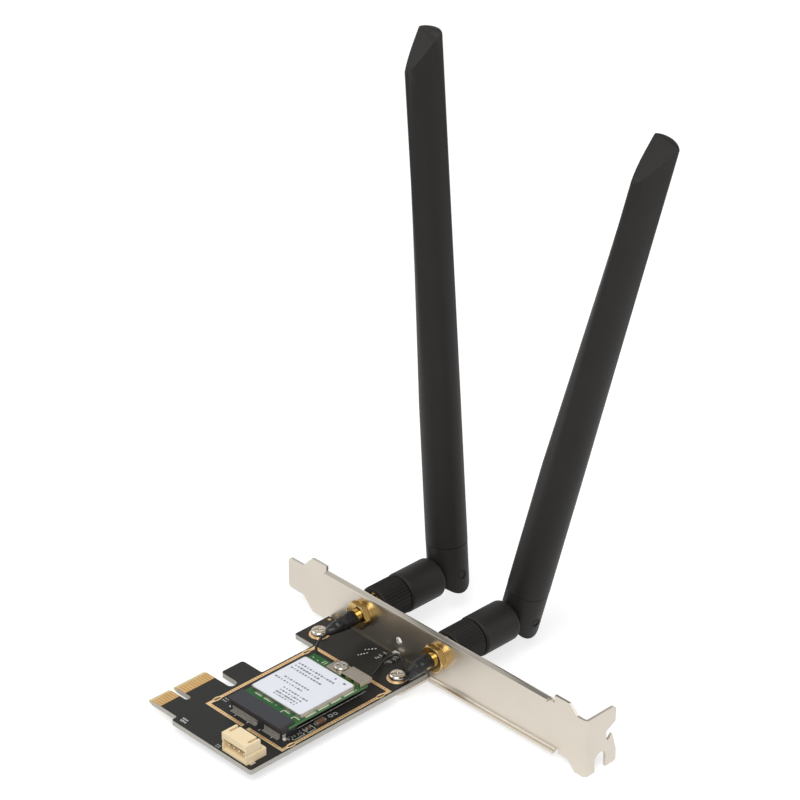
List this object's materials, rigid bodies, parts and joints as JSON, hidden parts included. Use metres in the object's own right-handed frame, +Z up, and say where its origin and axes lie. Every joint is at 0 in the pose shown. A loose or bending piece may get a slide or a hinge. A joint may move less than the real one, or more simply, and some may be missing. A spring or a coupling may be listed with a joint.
{
  "type": "wireless network card",
  "caption": "Short wireless network card with a socketed radio module, a folded steel bracket, coax pigtails and rod aerials that swivel and tilt.",
  "frame": {"origin": "middle of the key notch, on the line of the contact edge, halfway through the board", "axes": "+X out through the bracket, +Y towards the edge contacts, +Z up from the side with the parts"},
  "size_m": [0.1086, 0.1201, 0.1805],
  "materials": {
    "board_mask": "satin",
    "gold_plate": "polished",
    "dark_moulding": "gloss",
    "tin": "satin",
    "module_mask": "satin",
    "can_metal": "satin",
    "label": "matte",
    "chip_black": "matte",
    "chip_tan": "matte",
    "clip_metal": "satin",
    "screw_metal": "polished",
    "brass": "polished",
    "cream_moulding": "satin",
    "lamp": "gloss",
    "bracket_metal": "polished",
    "cable_black": "satin",
    "white_plastic": "satin",
    "aerial_black": "matte"
  },
  "bodies": {
    "card": {"board": "board_mask", "edge_contacts": "gold_plate", "bare_copper": "gold_plate", "module_socket_housing": "dark_moulding", "module_socket_contacts": "tin", "module_socket_tabs": "tin", "module_board": "module_mask", "module_shield": "can_metal", "module_label": "label", "module_radio_chip": "chip_black", "module_small_parts": "chip_tan", "module_jacks": "gold_plate", "module_clip": "clip_metal", "module_screw": "screw_metal", "module_standoff": "brass", "header_housing": "cream_moulding", "header_pins": "tin", "header_tabs": "tin", "chip_resistors": "chip_black", "chip_capacitors": "chip_tan", "chip_end_caps": "tin", "indicator_lamp": "lamp", "bracket": "bracket_metal", "bracket_screws": "screw_metal", "crimp_ferrules": "brass", "jack_washers": "brass", "jack_nuts": "brass", "pigtail_plug_left": "gold_plate", "pigtail_coax_left": "cable_black", "heat_shrink_left": "cable_black", "jack_body_left": "brass", "jack_insulator_left": "white_plastic", "jack_pin_left": "gold_plate", "pigtail_plug_right": "gold_plate", "pigtail_coax_right": "cable_black", "heat_shrink_right": "cable_black", "jack_body_right": "brass", "jack_insulator_right": "white_plastic", "jack_pin_right": "gold_plate"},
    "left_nut": {"coupling_ring_left": "aerial_black", "coupling_nut_left": "brass"},
    "left_barrel": {"plug_body_left": "brass", "plug_insulator_left": "white_plastic", "plug_contact_left": "gold_plate", "hinge_barrel_left": "aerial_black"},
    "left_blade": {"hinge_pin_left": "aerial_black", "aerial_knuckle_left": "aerial_black", "aerial_sleeve_left": "aerial_black", "aerial_radiator_left": "brass"},
    "right_nut": {"coupling_ring_right": "aerial_black", "coupling_nut_right": "brass"},
    "right_barrel": {"plug_body_right": "brass", "plug_insulator_right": "white_plastic", "plug_contact_right": "gold_plate", "hinge_barrel_right": "aerial_black"},
    "right_blade": {"hinge_pin_right": "aerial_black", "aerial_knuckle_right": "aerial_black", "aerial_sleeve_right": "aerial_black", "aerial_radiator_right": "brass"}
  },
  "joints": [
    {"name": "left_nut_spin", "type": "hinge", "parent": "card", "child": "left_nut", "pos_m": [0.0669, -0.0186, 0.0088], "axis": [1, 0, 0], "continuous": true},
    {"name": "left_swivel", "type": "hinge", "parent": "card", "child": "left_barrel", "pos_m": [0.079, -0.0186, 0.0088], "axis": [1, 0, 0], "range_deg": [-176, 4]},
    {"name": "left_tilt", "type": "hinge", "parent": "left_barrel", "child": "left_blade", "pos_m": [0.09217, -0.0186, 0.0088], "axis": [0, 0.9973, -0.0732], "range_deg": [0, 90]},
    {"name": "right_nut_spin", "type": "hinge", "parent": "card", "child": "right_nut", "pos_m": [0.0661, -0.0497, 0.0088], "axis": [1, 0, 0], "continuous": true},
    {"name": "right_swivel", "type": "hinge", "parent": "card", "child": "right_barrel", "pos_m": [0.0782, -0.0497, 0.0088], "axis": [1, 0, 0], "range_deg": [-15, 165]},
    {"name": "right_tilt", "type": "hinge", "parent": "right_barrel", "child": "right_blade", "pos_m": [0.09137, -0.0497, 0.0088], "axis": [0, 0.9652, 0.2613], "range_deg": [0, 90]}
  ]
}
